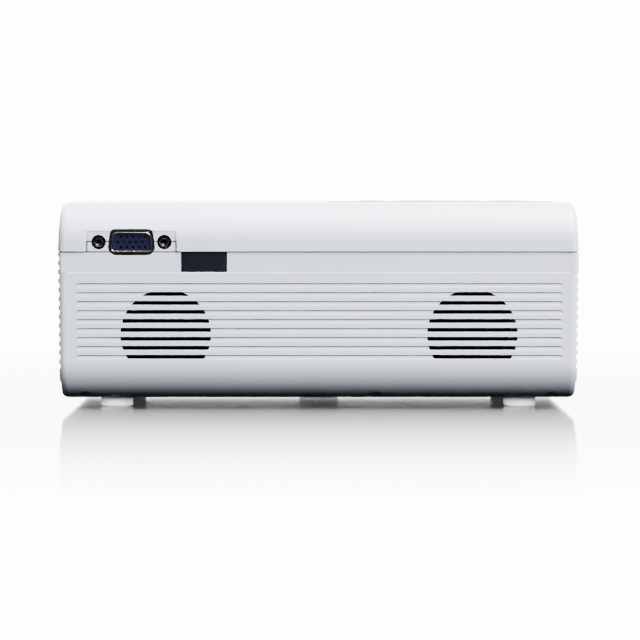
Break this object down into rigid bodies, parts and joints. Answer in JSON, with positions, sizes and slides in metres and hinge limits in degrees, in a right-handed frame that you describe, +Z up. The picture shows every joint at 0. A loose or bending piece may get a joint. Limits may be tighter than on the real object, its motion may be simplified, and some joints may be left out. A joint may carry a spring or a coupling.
{
  "type": "projector",
  "caption": "Small LED projector with one LCD panel: louvred white case, keypad on the top, sockets and loudspeakers at the back, focusing lens at the front.",
  "frame": {"origin": "middle of the bounding box at the bottom of the rubber feet", "axes": "+Z up, +Y the way the lens faces, -Y the back with the VGA socket, +X to the right seen from the back"},
  "size_m": [0.1988, 0.15, 0.0793],
  "materials": {
    "white_case": "moulded white ABS, fine satin",
    "white_keys": "moulded white ABS keys",
    "grey_rubber": "moulded light grey rubber",
    "black_plastic": "moulded black ABS",
    "inner_plastic": "moulded dark PBT",
    "smoked_window": "smoked acrylic",
    "navy_insert": "moulded navy thermoplastic",
    "nickel_shell": "nickel plated steel",
    "zinc_screw": "zinc plated steel",
    "brass": "turned brass",
    "aluminium": "extruded aluminium",
    "board_green": "glass fibre circuit board",
    "chip_black": "moulded epoxy",
    "clear_glass": "polished optical glass",
    "lcd_glass": "LCD glass with polarisers",
    "mirror_glass": "front surface mirror",
    "speaker_cloth": "black woven cloth",
    "paper_cone": "pressed paper cone",
    "light_guide": "clear polycarbonate",
    "led_white": "LED array on an aluminium plate"
  },
  "bodies": {
    "casing": {"lower_case": "white_case", "top_cover": "white_case", "case_screws": "zinc_screw", "rubber_feet": "grey_rubber", "brass_inserts": "brass", "lens_bezel": "black_plastic", "rear_ir_window": "smoked_window", "front_ir_window": "smoked_window", "status_light": "light_guide", "grille_cloths": "speaker_cloth", "keypad_panel": "white_keys", "keypad_board": "board_green", "main_board": "board_green", "board_chips": "chip_black", "vga_housing": "black_plastic", "vga_shell": "nickel_shell", "vga_insert": "navy_insert", "vga_standoffs": "nickel_shell", "hdmi_socket": "nickel_shell", "usb_socket": "nickel_shell", "card_slot": "nickel_shell", "av_jack": "black_plastic", "power_board": "board_green", "power_parts": "chip_black", "mains_inlet": "black_plastic", "inlet_pins": "nickel_shell", "left_speaker": "inner_plastic", "right_speaker": "inner_plastic", "left_speaker_cone": "paper_cone", "right_speaker_cone": "paper_cone", "exhaust_fan_frame": "inner_plastic", "intake_fan_frame": "inner_plastic", "led_module": "led_white", "heat_sink": "aluminium", "condenser_lens": "clear_glass", "light_tunnel": "inner_plastic", "lcd_frame": "inner_plastic", "rear_fresnel": "clear_glass", "heat_glass": "clear_glass", "lcd_panel": "lcd_glass", "front_fresnel": "clear_glass", "mirror_box": "inner_plastic", "fold_mirror": "mirror_glass", "lens_mount": "inner_plastic"},
    "focus_ring": {"focus_ring": "black_plastic"},
    "lens_barrel": {"lens_barrel": "black_plastic", "lens_elements": "clear_glass"},
    "exhaust_rotor": {"exhaust_fan_rotor": "black_plastic"},
    "intake_rotor": {"intake_fan_rotor": "black_plastic"},
    "elevator_foot": {"elevator_foot": "grey_rubber"},
    "key_up": {"key_up": "white_keys"},
    "key_down": {"key_down": "white_keys"},
    "key_left": {"key_left": "white_keys"},
    "key_right": {"key_right": "white_keys"},
    "key_ok": {"key_ok": "white_keys"},
    "key_power": {"key_power": "white_keys"},
    "key_source": {"key_source": "white_keys"},
    "key_menu": {"key_menu": "white_keys"},
    "key_back": {"key_back": "white_keys"}
  },
  "joints": [
    {"name": "focus_turn", "type": "hinge", "parent": "casing", "child": "focus_ring", "pos_m": [-0.055, 0.0675, 0.035], "axis": [0, 1, 0], "range_deg": [0, 110]},
    {"name": "barrel_slide", "type": "slide", "parent": "casing", "child": "lens_barrel", "axis": [0, 1, 0], "range_m": [0, 0.005]},
    {"name": "exhaust_spin", "type": "hinge", "parent": "casing", "child": "exhaust_rotor", "pos_m": [0.0909, -0.016, 0.035], "axis": [1, 0, 0], "continuous": true},
    {"name": "intake_spin", "type": "hinge", "parent": "casing", "child": "intake_rotor", "pos_m": [0.053, 0.0593, 0.035], "axis": [0, 1, 0], "continuous": true},
    {"name": "elevator_screw", "type": "slide", "parent": "casing", "child": "elevator_foot", "axis": [0, 0, -1], "range_m": [0, 0.012]},
    {"name": "key_up_press", "type": "slide", "parent": "casing", "child": "key_up", "axis": [0, 0, -1], "range_m": [0, 0.0004], "stiffness_N_per_m": 1500, "springref_m": -0.0004},
    {"name": "key_down_press", "type": "slide", "parent": "casing", "child": "key_down", "axis": [0, 0, -1], "range_m": [0, 0.0004], "stiffness_N_per_m": 1500, "springref_m": -0.0004},
    {"name": "key_left_press", "type": "slide", "parent": "casing", "child": "key_left", "axis": [0, 0, -1], "range_m": [0, 0.0004], "stiffness_N_per_m": 1500, "springref_m": -0.0004},
    {"name": "key_right_press", "type": "slide", "parent": "casing", "child": "key_right", "axis": [0, 0, -1], "range_m": [0, 0.0004], "stiffness_N_per_m": 1500, "springref_m": -0.0004},
    {"name": "key_ok_press", "type": "slide", "parent": "casing", "child": "key_ok", "axis": [0, 0, -1], "range_m": [0, 0.0004], "stiffness_N_per_m": 1500, "springref_m": -0.0004},
    {"name": "key_power_press", "type": "slide", "parent": "casing", "child": "key_power", "axis": [0, 0, -1], "range_m": [0, 0.0004], "stiffness_N_per_m": 1500, "springref_m": -0.0004},
    {"name": "key_source_press", "type": "slide", "parent": "casing", "child": "key_source", "axis": [0, 0, -1], "range_m": [0, 0.0004], "stiffness_N_per_m": 1500, "springref_m": -0.0004},
    {"name": "key_menu_press", "type": "slide", "parent": "casing", "child": "key_menu", "axis": [0, 0, -1], "range_m": [0, 0.0004], "stiffness_N_per_m": 1500, "springref_m": -0.0004},
    {"name": "key_back_press", "type": "slide", "parent": "casing", "child": "key_back", "axis": [0, 0, -1], "range_m": [0, 0.0004], "stiffness_N_per_m": 1500, "springref_m": -0.0004}
  ],
  "couplings": [
    {"joint": "focus_turn", "follows": "barrel_slide", "rad_per_m": 383.9}
  ]
}
